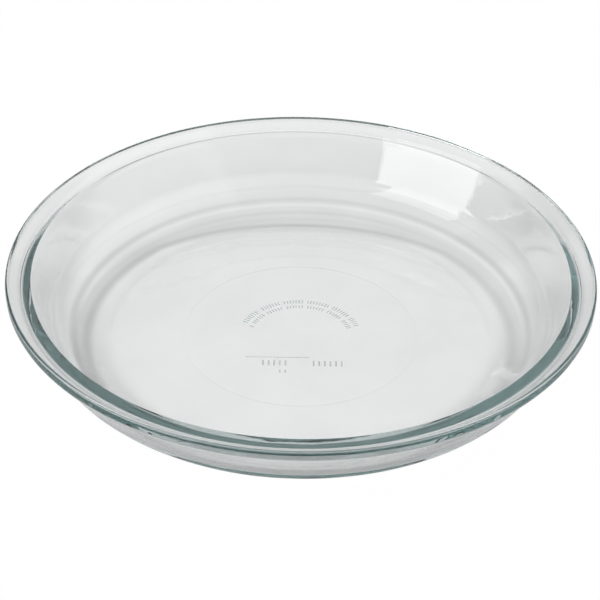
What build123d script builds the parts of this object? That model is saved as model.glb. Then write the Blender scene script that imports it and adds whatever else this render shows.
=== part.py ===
from build123d import *
from math import asin, atan2, cos, hypot, pi, radians, sin, tan
import os

# A pressed-glass pie dish: one piece of glass, a figure of revolution about +Z.
# The origin is the centre of the underside, on the surface that the dish stands on.
# Lengths are in millimetres and angles in degrees.

# Driving sizes of the bowl
overall_diameter = 250.0
well_diameter = 228.6
total_height = 39.2
wall_flare_angle = 24.0
wall_thickness = 6.0
floor_thickness = 4.4

# Rim: a flange that climbs outwards to a blunt lip
rim_rise = 1.8
rim_thickness = 5.1
lip_top_round = 1.6
lip_bottom_bevel = 1.1
rim_underside_bevel = 2.0

# Heel: the sloping turn from the standing ring to the wall
base_diameter = 172.6
knuckle_height = 12.7
knuckle_round = 13.5
base_edge_round = 14.0
heel_thickness = 4.9
wall_foot_round = 16.5

# Underside: a flat standing ring round a shallow hollow, with the ring that the mould leaves
standing_ring_width = 7.4
hollow_depth = 0.6
hollow_slope_width = 20.0
mould_ring_diameter = 101.6
mould_ring_width = 1.2
mould_ring_height = 0.2

# The rounds at the two ends of a straight run may each take this share of it
round_share = 0.48


def crossing(first, first_angle, second, second_angle):
    """Point where two straight lines of the section cross, each given by a point and its angle in radians."""
    across = second[0] - first[0]
    up = second[1] - first[1]
    turn = sin(second_angle - first_angle)
    along = (across * sin(second_angle) - up * cos(second_angle)) / turn
    return (first[0] + along * cos(first_angle), first[1] + along * sin(first_angle))


def beside(point, angle, distance):
    """Point at a distance square to a line's direction, on the left of the way it runs."""
    return (point[0] - distance * sin(angle), point[1] + distance * cos(angle))


def fitted(radius, before, corner, after):
    """Radius of the round at a corner, no larger than its share of the shorter of the corner's two runs allows."""
    run_in = (corner[0] - before[0], corner[1] - before[1])
    run_out = (after[0] - corner[0], after[1] - corner[1])
    turn = atan2(run_out[1], run_out[0]) - atan2(run_in[1], run_in[0])
    shorter = min(hypot(*run_in), hypot(*run_out))
    return min(radius, round_share * shorter / abs(tan(turn / 2)))


# The rim's upper face runs from the well edge and is tangent to the lip's top round, which sets the height
lip_face = (overall_diameter / 2, 0)
well_edge = (well_diameter / 2, total_height - rim_rise)
lip_centre = (lip_face[0] - lip_top_round, total_height - lip_top_round)
lip_run = lip_centre[0] - well_edge[0]
lip_climb = lip_centre[1] - well_edge[1]
rim_angle = atan2(lip_climb, lip_run) + asin(lip_top_round / hypot(lip_run, lip_climb))
lip_top = crossing(well_edge, rim_angle, lip_face, pi / 2)

# The wall's two faces lean outwards at the flare angle, and the rim's underside keeps the rim's thickness
wall_angle = radians(90 - wall_flare_angle)
outer_wall = beside(well_edge, wall_angle, -wall_thickness)
rim_underside = beside(well_edge, rim_angle, -rim_thickness)
lip_bottom = crossing(rim_underside, rim_angle, lip_face, pi / 2)
rim_armpit = crossing(rim_underside, rim_angle, outer_wall, wall_angle)

# The heel slopes from the standing ring up to the knuckle, and its inside keeps the heel's thickness
base_edge = (base_diameter / 2, 0)
knuckle = crossing((0, knuckle_height), 0, outer_wall, wall_angle)
heel_angle = atan2(knuckle[1] - base_edge[1], knuckle[0] - base_edge[0])
inner_heel = beside(base_edge, heel_angle, heel_thickness)
floor_edge = crossing((0, floor_thickness), 0, inner_heel, heel_angle)
wall_foot = crossing(inner_heel, heel_angle, well_edge, wall_angle)

# The hollow underside and the ring that stands down from it
standing_ring_edge = (base_edge[0] - standing_ring_width, 0)
hollow_edge = (standing_ring_edge[0] - hollow_slope_width, hollow_depth)
mould_ring_radius = mould_ring_diameter / 2
mould_ring_foot = mould_ring_width / 2

# Corners of the section that are bevelled, and those that are rounded
bevels = [
    (rim_armpit, rim_underside_bevel),
    (lip_bottom, lip_bottom_bevel),
]
rounds = [
    (base_edge, fitted(base_edge_round, standing_ring_edge, base_edge, knuckle)),
    (knuckle, fitted(knuckle_round, base_edge, knuckle, rim_armpit)),
    (lip_top, fitted(lip_top_round, lip_bottom, lip_top, well_edge)),
    (wall_foot, fitted(wall_foot_round, well_edge, wall_foot, floor_edge)),
]

with BuildPart() as glass_dish:
    with BuildSketch(Plane.XZ) as section:
        with BuildLine():
            Polyline(
                (0, hollow_depth),
                (mould_ring_radius - mould_ring_foot, hollow_depth),
                (mould_ring_radius, hollow_depth - mould_ring_height),
                (mould_ring_radius + mould_ring_foot, hollow_depth),
                hollow_edge,
                standing_ring_edge,
                base_edge,
                knuckle,
                rim_armpit,
                lip_bottom,
                lip_top,
                well_edge,
                wall_foot,
                floor_edge,
                (0, floor_thickness),
                close=True,
            )
        make_face()
        for corner, corner_width in bevels:
            chamfer(section.vertices().sort_by_distance(Vector(*corner, 0))[0], corner_width)
        for corner, corner_radius in rounds:
            fillet(section.vertices().sort_by_distance(Vector(*corner, 0))[0], corner_radius)
    revolve(axis=Axis.Z)

glass_dish.part.label = "glass_dish"
os.makedirs("parts", exist_ok=True)
export_step(glass_dish.part, "parts/glass_dish.step")

well_depth = well_edge[1] - floor_thickness
print(f"overall {overall_diameter:.1f} x {total_height:.1f}, well {well_diameter:.1f} x {well_depth:.1f} deep")
print(f"knuckle at radius {knuckle[0]:.1f}, wall foot at radius {wall_foot[0]:.1f}")
print(f"floor edge at radius {floor_edge[0]:.1f}, glass volume {glass_dish.part.volume:.0f} mm3")
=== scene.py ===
"""A clear pressed-glass pie dish standing on a pale table, in metres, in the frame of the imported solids."""

from math import asin, atan2, cos, hypot, pi, radians, sin, tan

import bpy
import numpy as np
from mathutils import Matrix, Quaternion, Vector


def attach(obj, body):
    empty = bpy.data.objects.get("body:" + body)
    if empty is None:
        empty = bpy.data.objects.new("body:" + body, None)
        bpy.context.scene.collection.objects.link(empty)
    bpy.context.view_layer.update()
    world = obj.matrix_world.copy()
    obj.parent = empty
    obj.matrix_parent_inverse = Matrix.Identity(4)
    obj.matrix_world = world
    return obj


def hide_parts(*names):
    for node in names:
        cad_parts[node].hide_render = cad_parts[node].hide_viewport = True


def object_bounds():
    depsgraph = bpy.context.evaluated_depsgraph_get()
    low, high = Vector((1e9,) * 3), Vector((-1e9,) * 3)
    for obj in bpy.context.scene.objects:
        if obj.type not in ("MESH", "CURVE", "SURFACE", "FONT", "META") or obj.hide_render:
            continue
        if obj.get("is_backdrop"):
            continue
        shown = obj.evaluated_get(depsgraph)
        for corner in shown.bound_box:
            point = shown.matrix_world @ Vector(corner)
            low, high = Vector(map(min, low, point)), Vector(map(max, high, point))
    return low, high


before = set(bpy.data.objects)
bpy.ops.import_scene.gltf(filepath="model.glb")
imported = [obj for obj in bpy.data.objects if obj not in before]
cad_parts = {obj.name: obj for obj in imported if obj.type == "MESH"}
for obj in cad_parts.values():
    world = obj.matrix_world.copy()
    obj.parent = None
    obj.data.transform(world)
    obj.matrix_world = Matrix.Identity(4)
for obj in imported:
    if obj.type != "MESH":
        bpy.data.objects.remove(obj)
packed_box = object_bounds()

bl_info = {
    "name": "Pressed-glass pie dish",
    "version": (1, 0, 0),
    "blender": (4, 5, 0),
    "location": "3D View > Sidebar > Pie dish",
    "description": "Makes a clear pressed-glass pie dish and the table, light and camera that show it",
    "category": "Add Mesh",
}


# Fineness of the dish's mesh: steps round the axis, distance between two rows on a straight run and on an
# arc, fewest rows on an arc, and rows over the mould ring
TURNS = 400
RUN_SPACING = 0.0035
ARC_SPACING = 0.0004
FEWEST_ARC_ROWS = 14
MOULD_RING_ROWS = 9

# The arcs at the two ends of a straight run may each take this share of it
ARC_SHARE = 0.49

# Rounding at both ends of the underside's gentle slope, so large that the share above is what limits it
SLOPE_ROUND = 0.2

# Waves of the skin: whole turns round the dish, wavelength along the section, and shift as an angle
SKIN_WAVES = (
    (7, 0.051, 0.3),
    (11, 0.037, 2.1),
    (16, 0.029, 4.4),
    (23, 0.043, 1.2),
    (31, 0.023, 5.3),
    (5, 0.061, 3.6),
)

# Below this height there are no waves, so that the dish stands flat. They reach their full depth over this
# climb, and over this distance from the axis
CALM_HEIGHT = 0.0002
CALM_CLIMB = 0.003
CALM_RADIUS = 0.02

# How much rougher the skin of the glass is at its roughest than at its smoothest
POLISH_SPREAD = 0.012

# Most values of a noise texture lie in this span
NOISE_SPAN = (0.3, 0.7)

# The marks under the floor have a middle of their own, this far in front of the dish's, and are below this
# height
MARKS_SHIFT = 0.0032
MARKS_TOP = 0.0015

# Arcs of ticks: radius, pitch as an angle, and half a tick's length. They reach this angle either way from +Y
TICK_ARCS = (
    (0.0262, 0.052, 0.0012),
    (0.0224, 0.061, 0.0010),
)
TICK_HALF_WIDTH = 0.00045
TICKS_REACH = 1.25

# Gaps part the ticks into groups: the angle from gap to gap, the gap's share of it, and an angle that is
# added first
GAP_PITCH = 0.43
GAP_SHARE = 0.14
GAP_START = 5.1

# Straight line: how far it lies in front of the marks' middle, its half width, and its two ends across
LINE_PLACE = 0.0150
LINE_HALF_WIDTH = 0.0003
LINE_ENDS = (-0.023, 0.004)

# Rows of bars: first and last place across, and lowest and highest place up
BAR_ROWS = (
    (-0.0160, -0.0040, -0.0206, -0.0170),
    (0.0040, 0.0200, -0.0206, -0.0170),
    (-0.0100, -0.0050, -0.0254, -0.0236),
)
BAR_PITCH = 0.0024
BAR_HALF_WIDTH = 0.0004

# Painted rings of shade and light on the table under the heel: shift along Y, radius, half width, dip on the
# far side, and what each adds on the left, in the middle and on the right
SHADE_RINGS = (
    (0.0, 0.0860, 0.0060, 0.0074, (-0.05, -0.05, -0.025)),
    (0.0, 0.0937, 0.0034, 0.0074, (-0.22, -0.28, -0.13)),
    (0.0, 0.0960, 0.0050, 0.0037, (-0.17, -0.10, -0.03)),
    (0.0, 0.0990, 0.0028, 0.0, (-0.10, -0.13, 0.0)),
    (0.0065, 0.0995, 0.0024, 0.0, (0.03, 0.13, 0.13)),
    (0.0098, 0.1010, 0.0033, 0.0, (-0.27, -0.15, -0.22)),
)

# From this place across to this one, the middle goes over to a side
SIDE_START = 0.03
SIDE_END = 0.095

# The painted pool of light on the table under the floor: the span of radii over which it ends, and its dip
# on the far side
POOL_EDGE = (0.0892, 0.0922)
POOL_DIP = 0.010

# Painted shade on the table in front of the dish: the spans of radii over which it comes and goes
NEAR_START = (0.078, 0.1)
NEAR_END = (0.22, 0.60)

# Painted shade on the table at the sides: the span across over which it comes, and the place across where a
# side's depth is full
FLANK_START = (0.098, 0.114)
FLANK_PLACE = 0.1

# Painted sectors of light and shade on the table beyond the heel: first and last angle from +Y, and what
# each adds. Next, the span of radii over which they come, and the angle over which they come and go
SHADE_SECTORS = (
    (-1.21, -0.26, 0.07),
    (0.73, 1.02, -0.06),
    (1.02, 1.27, 0.07),
)
SECTORS_START = (0.104, 0.108)
SECTOR_EDGE = 0.04

# Far away the table's painted light and shade fade over this span of radii. What is left goes from its
# value at the sides to its value behind over the second span, of a place's distance back as a share of its
# radius
FADE_SPAN = (0.24, 0.45)
BEHIND_SPAN = (0.90, 0.99)

# A radius smaller than this counts as this, so that nothing is divided by zero
SMALLEST_RADIUS = 0.001

# The table reaches this far each way, just under the dish, so that no two faces touch
TABLE_REACH = 4.0
TABLE_LEVEL = -0.0002

# The room's brightness by the way looked, whose parts across, back and up are shares of one: how far back the
# bright part behind the dish starts and is full, and how far up the high and the overhead light do
ROOM_BEHIND = (0.80, 0.97)
ROOM_CLIMB = (0.16, 0.62)
ROOM_OVERHEAD = (0.6, 1.0)

# Soft lamps on the left: place, point faced, width and height. The height of both runs along the lean
SOFTBOX = ((-0.884, -0.522, 0.349), (-0.099, -0.157, -0.196), 0.90, 0.58)
STRIP = ((-0.644, -0.141, 0.899), (0.141, 0.224, 0.354), 0.56, 0.83)
LAMP_LEAN = (0.34, 0.54, 0.78)

# Camera: width of the frame in millimetres, sideways shift as a share of it, and the farthest distance seen
FRAME_WIDTH = 36.0
FRAME_SHIFT = -0.0012
FARTHEST_SEEN = 30.0

# Light crosses this many faces of glass, and is mirrored this many times, before it is given up
GLASS_BOUNCES = 128
MIRROR_BOUNCES = 32


def length(name, description, default):
    """A length property in metres."""
    return bpy.props.FloatProperty(
        name=name,
        description=description,
        default=default,
        min=0.0,
        precision=5,
        unit="LENGTH",
    )


def angle(name, description, degrees):
    """An angle property, stored in radians."""
    return bpy.props.FloatProperty(
        name=name,
        description=description,
        default=radians(degrees),
        subtype="ANGLE",
    )


def share(name, description, default, top=1.0):
    """A plain number between nothing and a top value."""
    return bpy.props.FloatProperty(
        name=name,
        description=description,
        default=default,
        min=0.0,
        max=top,
        precision=3,
    )


def power(name, description, default):
    """The power of a lamp."""
    return bpy.props.FloatProperty(
        name=name,
        description=description,
        default=default,
        min=0.0,
        unit="POWER",
    )


def tint(name, description, default):
    """A colour property in linear light."""
    return bpy.props.FloatVectorProperty(
        name=name,
        description=description,
        default=default,
        subtype="COLOR",
        size=3,
        min=0.0,
        max=1.0,
    )


class DishShape(bpy.types.PropertyGroup):
    """Sizes of the dish's section, the figure that turns round the upright axis."""

    overall_diameter: length("Overall diameter", "Across the outside of the lip", 0.250)
    total_height: length("Total height", "From the table to the top of the lip", 0.0392)
    well_diameter: length("Well diameter", "Across the inside of the rim", 0.2286)
    wall_flare: angle("Wall flare", "Lean of the wall from upright", 24.0)
    wall_thickness: length("Wall thickness", "Glass between the wall's two faces", 0.0060)
    floor_thickness: length("Floor thickness", "Height of the well's floor over the table", 0.0044)
    rim_rise: length("Rim rise", "Climb of the rim from the well edge to the lip's top", 0.0018)
    rim_thickness: length("Rim thickness", "Glass between the rim's two faces", 0.0051)
    lip_top_round: length("Lip top round", "Rounding of the lip's upper edge", 0.0016)
    lip_bottom_round: length("Lip bottom round", "Rounding of the lip's lower edge", 0.0022)
    well_edge_round: length("Well edge round", "Rounding where the rim turns down into the well", 0.0005)
    rim_underside_round: length("Rim underside round", "Hollow rounding between rim and wall", 0.0042)
    base_diameter: length("Base diameter", "Across the outer edge of the standing ring", 0.1726)
    knuckle_height: length("Knuckle height", "Height at which the heel turns into the wall", 0.0127)
    knuckle_round: length("Knuckle round", "Rounding of that turn", 0.0135)
    base_edge_round: length("Base edge round", "Rounding of the standing ring's outer edge", 0.014)
    heel_thickness: length("Heel thickness", "Glass in the sloping heel", 0.0049)
    floor_edge_round: length("Floor edge round", "Hollow rounding round the floor", 0.012)
    wall_foot_round: length("Wall foot round", "Hollow rounding at the foot of the wall", 0.0165)
    standing_ring_width: length("Standing ring width", "Flat ring that the dish stands on", 0.0074)
    hollow_slope_width: length("Hollow slope", "Width of the gentle slope into the hollow underside", 0.020)
    hollow_depth: length("Hollow depth", "Lift of the middle of the underside", 0.0006)
    mould_ring_diameter: length("Mould ring diameter", "Across the fine ring left by the mould", 0.1016)
    mould_ring_width: length("Mould ring width", "Across the ring's own section", 0.0014)
    mould_ring_height: length("Mould ring height", "How far the ring stands down from the hollow", 0.00005)
    wave_depth: length("Wave depth", "Depth of the waves that hot glass keeps from its mould", 0.0001)


class GlassLook(bpy.types.PropertyGroup):
    """Finish of the glass."""

    body_colour: tint(
        "Body colour",
        "What is left of white light after a good thickness of the glass",
        (0.734, 0.801, 0.799),
    )
    body_density: share("Body density", "How fast the body colour builds up, per metre", 29.0, 500.0)
    polish: share("Polish", "Roughness of the fire-polished skin at its smoothest", 0.0)
    mottle_depth: length("Mottle depth", "Depth of the faint mottling of the skin", 0.00003)
    mark_depth: length("Mark depth", "Height of the plain raised marks under the floor", 0.00018)


class StageLook(bpy.types.PropertyGroup):
    """Table, light and camera."""

    table_colour: tint("Table colour", "Colour of the tabletop", (0.64, 0.64, 0.64))
    # From here to cloudiness, and glow cover: painted light and shade on the table that the glass sees
    glow_under: share("Glow under the floor", "How bright the glass sees the table there", 1.045, 2.0)
    glow_open: share("Open table", "How bright it sees the tabletop away from the floor", 0.885, 2.0)
    ring_strength: share("Ring strength", "Strength of the rings of light and shade under the heel", 1.0, 3.0)
    near_shade: share("Near shade", "How much darker the table is in front of the dish", 0.58)
    left_shade: share("Left shade", "How much darker the table is on the left of the dish", 0.23)
    right_shade: share("Right shade", "How much darker the table is on its right", 0.17)
    far_glow: share("Far glow", "Share of the glow left far away at the sides and in front", 0.04)
    back_glow: share("Far glow behind", "Share of the glow left far away behind the dish", 0.75)
    cloud_shade: share("Cloudiness", "How much the glow goes up and down in soft clouds", 0.035)
    table_white: share("Table white", "Share of plain white, the rest being the table's own shading", 0.99)
    glow_cover: share("Glow cover", "Share of the glow in the table as the glass sees it", 0.55)
    side_room: share("Room at the sides", "Brightness near the horizon at the sides and in front", 0.02, 4.0)
    back_room: share("Room behind", "Brightness near the horizon behind the dish", 0.48, 4.0)
    high_room: share("High light", "Brightness of the room higher up", 1.0, 4.0)
    overhead: share("Overhead light", "What is added to that straight overhead", 0.3, 4.0)
    lamp_power: power("Lamp power", "Power of the large soft lamp", 4.3)
    strip_power: power("Strip power", "Power of the narrower lamp above it", 3.8)
    camera_distance: length("Camera distance", "From the camera to its aim over the dish's middle", 0.820)
    camera_aim: length("Camera aim", "Height of the camera's aim", 0.020)
    camera_pitch: angle("Camera pitch", "How far above the horizon the camera stands", 35.5)
    camera_roll: angle("Camera roll", "How far the camera is tipped to one side", 1.05)
    camera_lens: bpy.props.FloatProperty(
        name="Lens",
        description="Focal length for a frame 36 mm wide",
        default=114.25,
        subtype="DISTANCE_CAMERA",
    )


def crossing(first, first_angle, second, second_angle):
    """Point where two straight lines of the section cross, each given by a point and the angle it runs at."""
    across, up = second[0] - first[0], second[1] - first[1]
    along = (across * sin(second_angle) - up * cos(second_angle)) / sin(second_angle - first_angle)
    return (first[0] + along * cos(first_angle), first[1] + along * sin(first_angle))


def beside(point, heading, distance):
    """Point at a distance square to a line's heading, on the left of the way it runs."""
    return (point[0] - distance * sin(heading), point[1] + distance * cos(heading))


def section_corners(shape):
    """Corners of the half section as (radius, height, rounding).

    They run from the middle of the underside out, up and back in to the middle of the floor.
    """
    lip_face = (shape.overall_diameter / 2, 0.0)
    well_edge = (shape.well_diameter / 2, shape.total_height - shape.rim_rise)
    run = lip_face[0] - shape.lip_top_round - well_edge[0]
    climb = shape.rim_rise - shape.lip_top_round
    rim_angle = atan2(climb, run) + asin(shape.lip_top_round / hypot(run, climb))
    wall_angle = pi / 2 - shape.wall_flare
    rim_underside = beside(well_edge, rim_angle, -shape.rim_thickness)
    outer_wall = beside(well_edge, wall_angle, -shape.wall_thickness)
    lip_top = crossing(well_edge, rim_angle, lip_face, pi / 2)
    lip_bottom = crossing(rim_underside, rim_angle, lip_face, pi / 2)
    rim_armpit = crossing(rim_underside, rim_angle, outer_wall, wall_angle)
    base_edge = (shape.base_diameter / 2, 0.0)
    knuckle = crossing((0.0, shape.knuckle_height), 0.0, outer_wall, wall_angle)
    heel_angle = atan2(knuckle[1], knuckle[0] - base_edge[0])
    inner_heel = beside(base_edge, heel_angle, shape.heel_thickness)
    floor_edge = crossing((0.0, shape.floor_thickness), 0.0, inner_heel, heel_angle)
    wall_foot = crossing(inner_heel, heel_angle, well_edge, wall_angle)
    ring_edge = (base_edge[0] - shape.standing_ring_width, 0.0)
    hollow_edge = (ring_edge[0] - shape.hollow_slope_width, shape.hollow_depth)
    return (
        (0.0, shape.hollow_depth, 0.0),
        (*hollow_edge, SLOPE_ROUND),
        (*ring_edge, SLOPE_ROUND),
        (*base_edge, shape.base_edge_round),
        (*knuckle, shape.knuckle_round),
        (*rim_armpit, shape.rim_underside_round),
        (*lip_bottom, shape.lip_bottom_round),
        (*lip_top, shape.lip_top_round),
        (*well_edge, shape.well_edge_round),
        (*wall_foot, shape.wall_foot_round),
        (*floor_edge, shape.floor_edge_round),
        (0.0, shape.floor_thickness, 0.0),
    )


def ring_rows(shape):
    """Rows of points over the mould ring.

    The height is the hollow's less half the ring's height times one plus the cosine of an angle that runs
    evenly from minus to plus a half turn across the ring's width.
    """
    share_of_half = np.linspace(-1.0, 1.0, MOULD_RING_ROWS)
    radius = (shape.mould_ring_diameter + shape.mould_ring_width * share_of_half) / 2
    drop = shape.mould_ring_height * (1.0 + np.cos(pi * share_of_half)) / 2
    return np.stack([radius, shape.hollow_depth - drop], 1)


def rounded_outline(corners, ring):
    """Half section as rows of points and of their outward directions.

    Each corner gives an arc tangent to its two runs: the centre plus the radius times the cosine and sine of
    angles spaced evenly over the turn. Points between two arcs are spaced evenly on the straight run, and the
    mould ring's rows take the place of those that lie within its width.
    """
    rows = []
    for before, corner, after in zip(corners[:-2], corners[1:-1], corners[2:]):
        middle = np.array(corner[:2])
        back = np.array(before[:2]) - middle
        ahead = np.array(after[:2]) - middle
        back_run, ahead_run = hypot(*back), hypot(*ahead)
        back, ahead = back / back_run, ahead / ahead_run
        half = np.arccos(np.clip(back @ ahead, -1.0, 1.0)) / 2
        reach = min(corner[2] / tan(half), ARC_SHARE * back_run, ARC_SHARE * ahead_run)
        radius = reach * tan(half)
        centre = middle + (back + ahead) / hypot(*(back + ahead)) * radius / sin(half)
        start = atan2(*(middle + back * reach - centre)[::-1])
        end = atan2(*(middle + ahead * reach - centre)[::-1])
        turn = (end - start + pi) % (2 * pi) - pi
        count = max(FEWEST_ARC_ROWS, int(abs(turn) * radius / ARC_SPACING) + 2)
        angles = start + turn * np.linspace(0.0, 1.0, count)
        rows.append(centre + radius * np.stack([np.cos(angles), np.sin(angles)], 1))
    rows = [np.array([corners[0][:2]])] + rows + [np.array([corners[-1][:2]])]
    points = []
    for here, there in zip(rows[:-1], rows[1:]):
        points.append(here)
        gap = there[0] - here[-1]
        steps = int(hypot(*gap) / RUN_SPACING)
        points.append(here[-1] + gap * (np.arange(1, steps + 1) / (steps + 1))[:, None])
    outline = np.concatenate(points + [rows[-1]])
    inside = np.argmax(outline[:, 0] >= ring[0, 0])
    beyond = np.argmax(outline[:, 0] > ring[-1, 0])
    outline = np.concatenate([outline[:inside], ring, outline[beyond:]])
    lean = np.gradient(outline, axis=0)
    lean /= np.hypot(lean[:, 0], lean[:, 1])[:, None]
    return outline, np.stack([lean[:, 1], -lean[:, 0]], 1)


def skin_waves(along, around):
    """Wave of the skin, from 0 at the mould's surface down to -1.

    It is worked out for a distance along the section and an angle round it, as half of a mean of cosines,
    less a half. Each cosine has a whole number of turns round the dish and a wavelength along the section, so
    the wave closes on itself.
    """
    total = sum(np.cos(turns * around + 2 * pi * along / run + shift) for turns, run, shift in SKIN_WAVES)
    return 0.5 * total / len(SKIN_WAVES) - 0.5


def turned_surface(outline, outward, wave_depth):
    """Points of the skin.

    The section's radius and height are moved along its outward direction by the wave, which is calm near the
    table and the axis, and then carried round the axis by the second parameter, the angle. The two ends of
    the section are single points on the axis.
    """
    around = np.arange(TURNS) * 2 * pi / TURNS
    steps = np.hypot(*np.diff(outline, axis=0).T)
    along = np.concatenate([[0.0], np.cumsum(steps)])
    clear_of_table = np.clip((outline[:, 1] - CALM_HEIGHT) / CALM_CLIMB, 0.0, 1.0)
    clear_of_axis = np.clip(outline[:, 0] / CALM_RADIUS, 0.0, 1.0)
    calm = clear_of_table * clear_of_axis
    depth = wave_depth * calm[:, None] * skin_waves(along[:, None], around[None, :])
    radius = outline[:, :1] + outward[:, :1] * depth
    height = outline[:, 1:] + outward[:, 1:] * depth
    grid = np.stack([radius * np.sin(around), -radius * np.cos(around), height], -1)
    ends = np.array([[[0.0, 0.0, outline[0, 1]]], [[0.0, 0.0, outline[-1, 1]]]])
    return np.concatenate([ends[0], grid[1:-1].reshape(-1, 3), ends[1]])


def turned_faces(rows):
    """Corner numbers of the skin's faces: a quad between each two rows and columns, and a fan at each end."""
    ring = 1 + np.arange((rows - 2) * TURNS).reshape(rows - 2, TURNS)
    last = ring[-1, -1] + 1
    near, far = ring[:-1], ring[1:]
    quads = np.stack([near, np.roll(near, -1, 1), np.roll(far, -1, 1), far], -1).reshape(-1, 4)
    first_fan = np.stack([np.zeros_like(ring[0]), np.roll(ring[0], -1), ring[0]], -1)
    last_fan = np.stack([np.full_like(ring[0], last), ring[-1], np.roll(ring[-1], -1)], -1)
    return quads, np.concatenate([first_fan, last_fan])


def mesh_object(name, points, quads, triangles):
    """An object at the origin from arrays of points and of face corners, shaded smooth."""
    mesh = bpy.data.meshes.new(name)
    mesh.vertices.add(len(points))
    mesh.vertices.foreach_set("co", points.astype(np.float32).ravel())
    corners = np.concatenate([quads.ravel(), triangles.ravel()])
    sizes = np.concatenate([np.full(len(quads), 4), np.full(len(triangles), 3)])
    starts = np.concatenate([[0], np.cumsum(sizes)[:-1]])
    mesh.loops.add(len(corners))
    mesh.loops.foreach_set("vertex_index", corners.astype(np.int32))
    mesh.polygons.add(len(sizes))
    mesh.polygons.foreach_set("loop_start", starts.astype(np.int32))
    mesh.polygons.foreach_set("use_smooth", np.ones(len(sizes), dtype=bool))
    mesh.update(calc_edges=True)
    mesh.validate()
    piece = bpy.data.objects.new(name, mesh)
    bpy.context.scene.collection.objects.link(piece)
    return piece


class Wiring:
    """Short hand for adding nodes to one node tree and joining them."""

    def __init__(self, tree):
        self.tree = tree

    def add(self, kind, settings=None, **inputs):
        """A node with its settings and its inputs. An input is a value or another node's output."""
        node = self.tree.nodes.new(kind)
        for key, value in (settings or {}).items():
            setattr(node, key, value)
        for key, value in inputs.items():
            self.put(node.inputs[key.replace("_", " ")], value)
        return node

    def group(self, tree, **inputs):
        """Outputs of a node group with its inputs."""
        return self.add("ShaderNodeGroup", {"node_tree": tree}, **inputs).outputs

    def put(self, socket, value):
        """Joins an output to the socket, or writes a value there."""
        if isinstance(value, bpy.types.NodeSocket):
            self.tree.links.new(value, socket)
        else:
            socket.default_value = value

    def math(self, operation, *values, clamp=False):
        """Output of one Math node."""
        node = self.tree.nodes.new("ShaderNodeMath")
        node.operation = operation
        node.use_clamp = clamp
        for socket, value in zip(node.inputs, values):
            self.put(socket, value)
        return node.outputs[0]

    def ramp(self, value, span, ends, smooth=False):
        """Output of one Map Range node: the value's way through a span, as a number between the two ends."""
        settings = {"interpolation_type": "SMOOTHSTEP"} if smooth else None
        low, high = span
        first, last = ends
        node = self.add(
            "ShaderNodeMapRange",
            settings,
            Value=value,
            From_Min=low,
            From_Max=high,
            To_Min=first,
            To_Max=last,
        )
        return node.outputs[0]

    def crest(self, distance, half_width):
        """1 at a distance of nothing, falling smoothly to 0 at the half width on both sides."""
        away = self.math("ABSOLUTE", distance)
        return self.ramp(away, (0.0, half_width), (1.0, 0.0), smooth=True)

    def seen_by(self, *kinds):
        """1 where the ray is one of these kinds, as Light Path names them, and 0 elsewhere."""
        path = self.add("ShaderNodeLightPath")
        value = path.outputs[kinds[0]]
        for kind in kinds[1:]:
            value = self.math("MAXIMUM", value, path.outputs[kind])
        return value


def new_group(name, inputs, outputs):
    """An empty shader group with named sockets: (group, wiring, its input outputs, its output inputs)."""
    group = bpy.data.node_groups.new(name, "ShaderNodeTree")
    for label, kind, default in inputs:
        socket = group.interface.new_socket(label, in_out="INPUT", socket_type=kind)
        if default is not None:
            socket.default_value = default
    for label, kind in outputs:
        group.interface.new_socket(label, in_out="OUTPUT", socket_type=kind)
    wiring = Wiring(group)
    return group, wiring, wiring.add("NodeGroupInput").outputs, wiring.add("NodeGroupOutput").inputs


def new_material(name):
    """An empty material: (material, wiring, place on the object)."""
    material = bpy.data.materials.new(name)
    material.use_nodes = True
    material.node_tree.nodes.clear()
    wiring = Wiring(material.node_tree)
    return material, wiring, wiring.add("ShaderNodeTexCoord").outputs["Object"]


def soft_mottle():
    """Group: cloudy variation that turns a place on the surface into a number between Low and High."""
    group, wiring, inside, outside = new_group(
        "soft_mottle",
        (
            ("Vector", "NodeSocketVector", None),
            ("Scale", "NodeSocketFloat", 40.0),
            ("Detail", "NodeSocketFloat", 2.0),
            ("Low", "NodeSocketFloat", 0.0),
            ("High", "NodeSocketFloat", 1.0),
        ),
        (("Value", "NodeSocketFloat"),),
    )
    cloud = wiring.add(
        "ShaderNodeTexNoise",
        Vector=inside["Vector"],
        Scale=inside["Scale"],
        Detail=inside["Detail"],
    )
    spread = wiring.ramp(cloud.outputs[0], NOISE_SPAN, (inside["Low"], inside["High"]))
    wiring.put(outside["Value"], spread)
    return group


def raised_line():
    """Group: height of a rounded raised line by the distance to it, 1 on its middle, 0 at its half width."""
    group, wiring, inside, outside = new_group(
        "raised_line",
        (
            ("Distance", "NodeSocketFloat", 0.0),
            ("Half Width", "NodeSocketFloat", 0.0005),
        ),
        (("Height", "NodeSocketFloat"),),
    )
    wiring.put(outside["Height"], wiring.crest(inside["Distance"], inside["Half Width"]))
    return group


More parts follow.
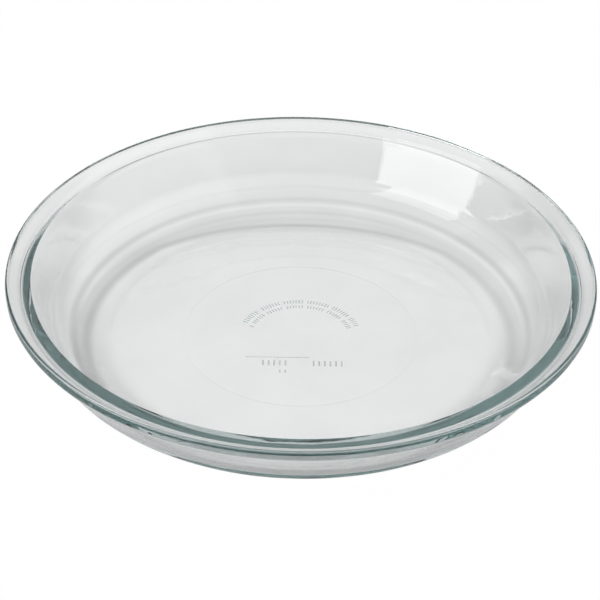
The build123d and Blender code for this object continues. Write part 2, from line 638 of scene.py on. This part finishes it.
def floor_marks():
    """Group: plain raised marks under the floor, as a height from 0 to 1.

    They are two arcs of short ticks round the middle, and one straight line with rows of bars. A tick's
    distance is its share of the pitch times the radius. Gaps of one angle part the ticks into groups.
    """
    group, wiring, inside, outside = new_group(
        "floor_marks",
        (("Vector", "NodeSocketVector", None),),
        (("Height", "NodeSocketFloat"),),
    )
    math = wiring.math
    raised = raised_line()

    def ridge(distance, half_width):
        """Height of a raised line by its distance."""
        return wiring.group(raised, Distance=distance, Half_Width=half_width)[0]

    def between(value, low, high):
        """1 where a value is over low and under high."""
        return math("MULTIPLY", math("GREATER_THAN", value, low), math("LESS_THAN", value, high))

    def off_middle(value, pitch):
        """How far a value is from the middle of its own step, as a share of the pitch."""
        return math("SUBTRACT", math("FRACT", math("DIVIDE", value, pitch)), 0.5)

    across, back, level = wiring.add("ShaderNodeSeparateXYZ", Vector=inside["Vector"]).outputs
    up = math("ADD", back, MARKS_SHIFT)
    radius = math("SQRT", math("ADD", math("MULTIPLY", across, across), math("MULTIPLY", up, up)))
    turn = math("ARCTAN2", across, up)
    heights = []
    steps = math("DIVIDE", math("ADD", turn, GAP_START), GAP_PITCH)
    groups = math("GREATER_THAN", math("FRACT", steps), GAP_SHARE)
    for arc_radius, pitch, reach in TICK_ARCS:
        away = math("MULTIPLY", off_middle(turn, pitch), pitch)
        tick = ridge(math("MULTIPLY", away, radius), TICK_HALF_WIDTH)
        arc = between(radius, arc_radius - reach, arc_radius + reach)
        rows = math("MULTIPLY", arc, between(turn, -TICKS_REACH, TICKS_REACH))
        heights.append(math("MULTIPLY", tick, math("MULTIPLY", rows, groups)))
    line = ridge(math("ADD", up, LINE_PLACE), LINE_HALF_WIDTH)
    heights.append(math("MULTIPLY", line, between(across, *LINE_ENDS)))
    for first, last, low, high in BAR_ROWS:
        bar = ridge(math("MULTIPLY", off_middle(across, BAR_PITCH), BAR_PITCH), BAR_HALF_WIDTH)
        rows = math("MULTIPLY", between(across, first, last), between(up, low, high))
        heights.append(math("MULTIPLY", bar, rows))
    total = heights[0]
    for height in heights[1:]:
        total = math("MAXIMUM", total, height)
    wiring.put(outside["Height"], math("MULTIPLY", total, math("LESS_THAN", level, MARKS_TOP)))
    return group


def clear_glass(look):
    """Material of the dish: clear glass, faintly blue-green in its depth, with a polished, mottled skin."""
    mottle = soft_mottle()
    marks = floor_marks()
    material, wiring, place = new_material("clear_glass")
    grain = wiring.group(mottle, Vector=place, Scale=90.0, Detail=2.0, Low=0.0, High=1.0)
    polish = wiring.group(
        mottle,
        Vector=place,
        Scale=35.0,
        Detail=3.0,
        Low=look.polish,
        High=look.polish + POLISH_SPREAD,
    )
    mark = wiring.group(marks, Vector=place)
    skin = wiring.add("ShaderNodeBump", Strength=1.0, Distance=look.mottle_depth, Height=grain[0])
    relief = wiring.add(
        "ShaderNodeBump",
        Strength=1.0,
        Distance=look.mark_depth,
        Height=mark[0],
        Normal=skin.outputs[0],
    )
    glass = wiring.add(
        "ShaderNodeBsdfPrincipled",
        Base_Color=(1.0, 1.0, 1.0, 1.0),
        Metallic=0.0,
        Roughness=polish[0],
        IOR=1.5,
        Transmission_Weight=1.0,
        Normal=relief.outputs[0],
    )
    depth = wiring.add(
        "ShaderNodeVolumeAbsorption",
        Color=(*look.body_colour, 1.0),
        Density=look.body_density,
    )
    wiring.add("ShaderNodeOutputMaterial", Surface=glass.outputs[0], Volume=depth.outputs[0])
    return material


def painted_ring_mask():
    """Group for the table's painted rings and pool of light: 1 on a circle of the table and 0 at a half
    width from it, and the distance to its middle.

    The middle is shifted along Y. On the far side the circle is drawn in by the dip times the cosine of twice
    the angle from +Y, where that is above nothing. The cosine is the square of the distance back less that of
    the distance across, over their sum.
    """
    group, wiring, inside, outside = new_group(
        "painted_ring_mask",
        (
            ("Vector", "NodeSocketVector", None),
            ("Shift", "NodeSocketFloat", 0.0),
            ("Radius", "NodeSocketFloat", 0.09),
            ("Half Width", "NodeSocketFloat", 0.003),
            ("Dip", "NodeSocketFloat", 0.0),
        ),
        (
            ("Height", "NodeSocketFloat"),
            ("Radius", "NodeSocketFloat"),
        ),
    )
    math = wiring.math
    across, back, _ = wiring.add("ShaderNodeSeparateXYZ", Vector=inside["Vector"]).outputs
    moved = math("SUBTRACT", back, inside["Shift"])
    across_square = math("MULTIPLY", across, across)
    sum_of_squares = math("ADD", across_square, math("MULTIPLY", moved, moved))
    square = math("MAXIMUM", sum_of_squares, SMALLEST_RADIUS ** 2)
    far = math("MAXIMUM", moved, 0.0)
    difference = math("SUBTRACT", math("MULTIPLY", far, far), across_square)
    cosine = math("DIVIDE", difference, square, clamp=True)
    radius = math("ADD", math("SQRT", square), math("MULTIPLY", cosine, inside["Dip"]))
    away = math("SUBTRACT", radius, inside["Radius"])
    wiring.put(outside["Height"], wiring.crest(away, inside["Half Width"]))
    wiring.put(outside["Radius"], radius)
    return group


def painted_table_light(wiring, place, look):
    """Painted light and shade of the tabletop, as the glass sees it.

    A painted pool of light under the floor goes over to the open table, and painted rings are added in place
    of those that the heel bends the light into. All of it is then multiplied by one less the painted shade:
    in front of the dish, at its sides, in soft clouds, and in sectors beyond the heel, where it may be
    painted light instead. Far away the painted light fades, least of all straight behind the dish.
    """
    ring = painted_ring_mask()
    math, ramp = wiring.math, wiring.ramp
    across, back, _ = wiring.add("ShaderNodeSeparateXYZ", Vector=place).outputs
    left = ramp(across, (-SIDE_END, -SIDE_START), (1.0, 0.0), smooth=True)
    right = ramp(across, (SIDE_START, SIDE_END), (0.0, 1.0), smooth=True)
    pool = wiring.group(ring, Vector=place, Dip=POOL_DIP)["Radius"]
    glow = ramp(pool, POOL_EDGE, (look.glow_under, look.glow_open), smooth=True)
    for shift, radius, half_width, dip, depths in SHADE_RINGS:
        circle = wiring.group(ring, Vector=place, Shift=shift, Radius=radius, Half_Width=half_width, Dip=dip)
        at_left, at_middle, at_right = (depth * look.ring_strength for depth in depths)
        leftwards = ramp(left, (0.0, 1.0), (at_middle, at_left))
        rightwards = ramp(right, (0.0, 1.0), (0.0, at_right - at_middle))
        strength = math("ADD", leftwards, rightwards)
        glow = math("ADD", glow, math("MULTIPLY", circle["Height"], strength))
    radius = wiring.group(ring, Vector=place)["Radius"]
    divisor = math("MAXIMUM", radius, SMALLEST_RADIUS)
    in_front = math("DIVIDE", math("MULTIPLY", back, -1.0), divisor, clamp=True)
    band = math("MULTIPLY", ramp(radius, NEAR_START, (0.0, 1.0)), ramp(radius, NEAR_END, (1.0, 0.0)))
    near = math("MULTIPLY", math("MULTIPLY", in_front, band), look.near_shade)
    flank = ramp(math("ABSOLUTE", across), FLANK_START, (0.0, 1.0), smooth=True)
    depth = ramp(across, (-FLANK_PLACE, FLANK_PLACE), (look.left_shade, look.right_shade))
    shade = math("ADD", near, math("MULTIPLY", flank, depth))
    cloud = wiring.add("ShaderNodeTexNoise", Vector=place, Scale=28.0, Detail=2.0, Roughness=0.5)
    shade = math("ADD", shade, ramp(cloud.outputs[0], NOISE_SPAN, (-look.cloud_shade, look.cloud_shade)))
    turn = math("ARCTAN2", across, back)
    beyond = ramp(radius, SECTORS_START, (0.0, 1.0))
    for first, last, change in SHADE_SECTORS:
        rise = ramp(turn, (first, first + SECTOR_EDGE), (0.0, 1.0))
        fall = ramp(turn, (last - SECTOR_EDGE, last), (1.0, 0.0))
        sector = math("MULTIPLY", math("MULTIPLY", beyond, change), math("MULTIPLY", rise, fall))
        shade = math("SUBTRACT", shade, sector)
    glow = math("MULTIPLY", glow, math("SUBTRACT", 1.0, shade))
    left_over = ramp(math("DIVIDE", back, radius), BEHIND_SPAN, (look.far_glow, look.back_glow), smooth=True)
    gone = math("MULTIPLY", ramp(radius, FADE_SPAN, (0.0, 1.0)), math("SUBTRACT", 1.0, left_over))
    return math("MULTIPLY", glow, math("SUBTRACT", 1.0, gone))


def pale_tabletop(look):
    """Material of the table: a matt pale sheet.

    The camera sees it as good as white. The glass sees its own light and shadow mixed with painted light and
    shade, and far away the painted light and shade alone.
    """
    mottle = bpy.data.node_groups.get("soft_mottle") or soft_mottle()
    material, wiring, place = new_material("pale_tabletop")
    rough = wiring.group(mottle, Vector=place, Scale=30.0, Detail=1.0, Low=0.55, High=0.65)
    sheet = wiring.add(
        "ShaderNodeBsdfPrincipled",
        Base_Color=(*look.table_colour, 1.0),
        Roughness=rough[0],
        Specular_IOR_Level=0.2,
    )
    through = wiring.seen_by("Is Transmission Ray", "Is Glossy Ray")
    camera = wiring.seen_by("Is Camera Ray")
    # An emission: white to the camera, and to the glass the table's painted light and shade
    level = wiring.math("MAXIMUM", camera, wiring.math("MULTIPLY", through, painted_table_light(wiring, place, look)))
    plain = wiring.add("ShaderNodeEmission", Color=level, Strength=1.0)
    radius = wiring.add("ShaderNodeVectorMath", {"operation": "LENGTH"}, Vector=place).outputs["Value"]
    share_of_painted_light = wiring.ramp(radius, FADE_SPAN, (look.glow_cover, 1.0))
    white = wiring.math("MULTIPLY", camera, look.table_white)
    cover = wiring.math("MAXIMUM", white, wiring.math("MULTIPLY", through, share_of_painted_light))
    both = wiring.add("ShaderNodeMixShader", Fac=cover)
    wiring.put(both.inputs[1], sheet.outputs[0])
    wiring.put(both.inputs[2], plain.outputs[0])
    wiring.add("ShaderNodeOutputMaterial", Surface=both.outputs[0])
    return material


def room_light(look):
    """World: a studio lit from above, dim near the horizon except behind the dish, white to the camera."""
    world = bpy.data.worlds.new("studio_room")
    world.use_nodes = True
    world.node_tree.nodes.clear()
    wiring = Wiring(world.node_tree)
    way = wiring.add("ShaderNodeTexCoord").outputs["Generated"]
    _, back, up = wiring.add("ShaderNodeSeparateXYZ", Vector=way).outputs
    low = wiring.ramp(back, ROOM_BEHIND, (look.side_room, look.back_room), smooth=True)
    climb = wiring.ramp(up, ROOM_CLIMB, (0.0, 1.0))
    difference = wiring.math("SUBTRACT", look.high_room, low)
    room = wiring.math("ADD", low, wiring.math("MULTIPLY", climb, difference))
    room = wiring.math("ADD", room, wiring.ramp(up, ROOM_OVERHEAD, (0.0, look.overhead)))
    level = wiring.add("ShaderNodeMix", {"data_type": "FLOAT"}, Factor=wiring.seen_by("Is Camera Ray"))
    wiring.put(level.inputs[2], room)
    wiring.put(level.inputs[3], 1.0)
    light = wiring.add("ShaderNodeBackground", Color=(1.0, 1.0, 1.0, 1.0), Strength=level.outputs[0])
    wiring.add("ShaderNodeOutputWorld", Surface=light.outputs[0])
    bpy.context.scene.world = world


def soft_lamp(name, place, aim, width, height, energy):
    """A rectangular soft lamp at a place, turned towards its aim, with its height running along the lean."""
    lamp = bpy.data.lights.new(name, "AREA")
    lamp.shape = "RECTANGLE"
    lamp.size = width
    lamp.size_y = height
    lamp.energy = energy
    stand = bpy.data.objects.new(name, lamp)
    bpy.context.scene.collection.objects.link(stand)
    stand.location = place
    back = (Vector(place) - Vector(aim)).normalized()
    side = Vector(LAMP_LEAN).cross(back).normalized()
    stand.rotation_euler = Matrix((side, back.cross(side), back)).transposed().to_euler()


def photo_camera(look):
    """The scene's camera, which looks down at its aim over the middle of the dish."""
    aim = Vector((0.0, 0.0, look.camera_aim))
    stand = aim + look.camera_distance * Vector((0.0, -cos(look.camera_pitch), sin(look.camera_pitch)))
    roll = Quaternion((0.0, 0.0, 1.0), look.camera_roll)
    lens = bpy.data.cameras.new("photo_view")
    lens.sensor_width = FRAME_WIDTH
    lens.lens = look.camera_lens
    lens.shift_x = FRAME_SHIFT
    lens.clip_end = FARTHEST_SEEN
    camera = bpy.data.objects.new("photo_view", lens)
    bpy.context.scene.collection.objects.link(camera)
    camera.location = stand
    camera.rotation_mode = "QUATERNION"
    camera.rotation_quaternion = (aim - stand).to_track_quat("-Z", "Y") @ roll
    bpy.context.scene.camera = camera


class PIEDISH_OT_press_glass(bpy.types.Operator):
    """Make the glass dish from its section"""

    bl_idname = "pie_dish.press_glass"
    bl_label = "Press the glass dish"

    def execute(self, context):
        shape = context.scene.pie_dish_shape
        outline, outward = rounded_outline(section_corners(shape), ring_rows(shape))
        points = turned_surface(outline, outward, shape.wave_depth)
        quads, triangles = turned_faces(len(outline))
        dish = mesh_object("pressed_glass_dish", points, quads, triangles)
        dish.data.materials.append(clear_glass(context.scene.pie_dish_glass))
        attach(dish, "root")
        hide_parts("glass_dish")
        return {"FINISHED"}


class PIEDISH_OT_set_stage(bpy.types.Operator):
    """Lay the pale table and set the room's light, the soft lamps and the camera"""

    bl_idname = "pie_dish.set_stage"
    bl_label = "Set the table, light and camera"

    def execute(self, context):
        look = context.scene.pie_dish_stage
        square = np.array([[-1.0, -1.0, 0.0], [1.0, -1.0, 0.0], [1.0, 1.0, 0.0], [-1.0, 1.0, 0.0]])
        corners = square * TABLE_REACH + (0.0, 0.0, TABLE_LEVEL)
        no_triangles = np.zeros((0, 3), dtype=int)
        table = mesh_object("tabletop", corners, np.array([[0, 1, 2, 3]]), no_triangles)
        table.data.materials.append(pale_tabletop(look))
        table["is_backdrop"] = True
        room_light(look)
        soft_lamp("left_softbox", *SOFTBOX, look.lamp_power)
        soft_lamp("left_strip", *STRIP, look.strip_power)
        photo_camera(look)
        context.scene.view_settings.view_transform = "Standard"
        context.scene.cycles.max_bounces = GLASS_BOUNCES
        context.scene.cycles.transmission_bounces = GLASS_BOUNCES
        context.scene.cycles.glossy_bounces = MIRROR_BOUNCES
        return {"FINISHED"}


class PIEDISH_PT_sidebar(bpy.types.Panel):
    """Sizes, finish and stage of the pie dish, with a button for each step"""

    bl_label = "Pie dish"
    bl_space_type = "VIEW_3D"
    bl_region_type = "UI"
    bl_category = "Pie dish"

    def draw(self, context):
        steps = (
            ("pie_dish_shape", "press_glass"),
            ("pie_dish_glass", None),
            ("pie_dish_stage", "set_stage"),
        )
        for group, step in steps:
            box = self.layout.box()
            settings = getattr(context.scene, group)
            for name in settings.__annotations__:
                box.prop(settings, name)
            if step:
                box.operator("pie_dish." + step)


CLASSES = (DishShape, GlassLook, StageLook, PIEDISH_OT_press_glass, PIEDISH_OT_set_stage, PIEDISH_PT_sidebar)


def register():
    """Add the settings, the steps and the panel to the running program."""
    for kind in CLASSES:
        bpy.utils.register_class(kind)
    bpy.types.Scene.pie_dish_shape = bpy.props.PointerProperty(type=DishShape)
    bpy.types.Scene.pie_dish_glass = bpy.props.PointerProperty(type=GlassLook)
    bpy.types.Scene.pie_dish_stage = bpy.props.PointerProperty(type=StageLook)


def unregister():
    """Take them out again."""
    for name in ("pie_dish_shape", "pie_dish_glass", "pie_dish_stage"):
        delattr(bpy.types.Scene, name)
    for kind in reversed(CLASSES):
        bpy.utils.unregister_class(kind)


def plain(box):
    """Corners of a box as lists of numbers."""
    return [[float(number) for number in corner] for corner in box]


def main():
    """Make the dish and its stage."""
    register()
    bpy.ops.pie_dish.press_glass()
    bpy.ops.pie_dish.set_stage()
    {"cad": plain(packed_box), "visual": plain(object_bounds())}


if __name__ == "__main__":
    main()
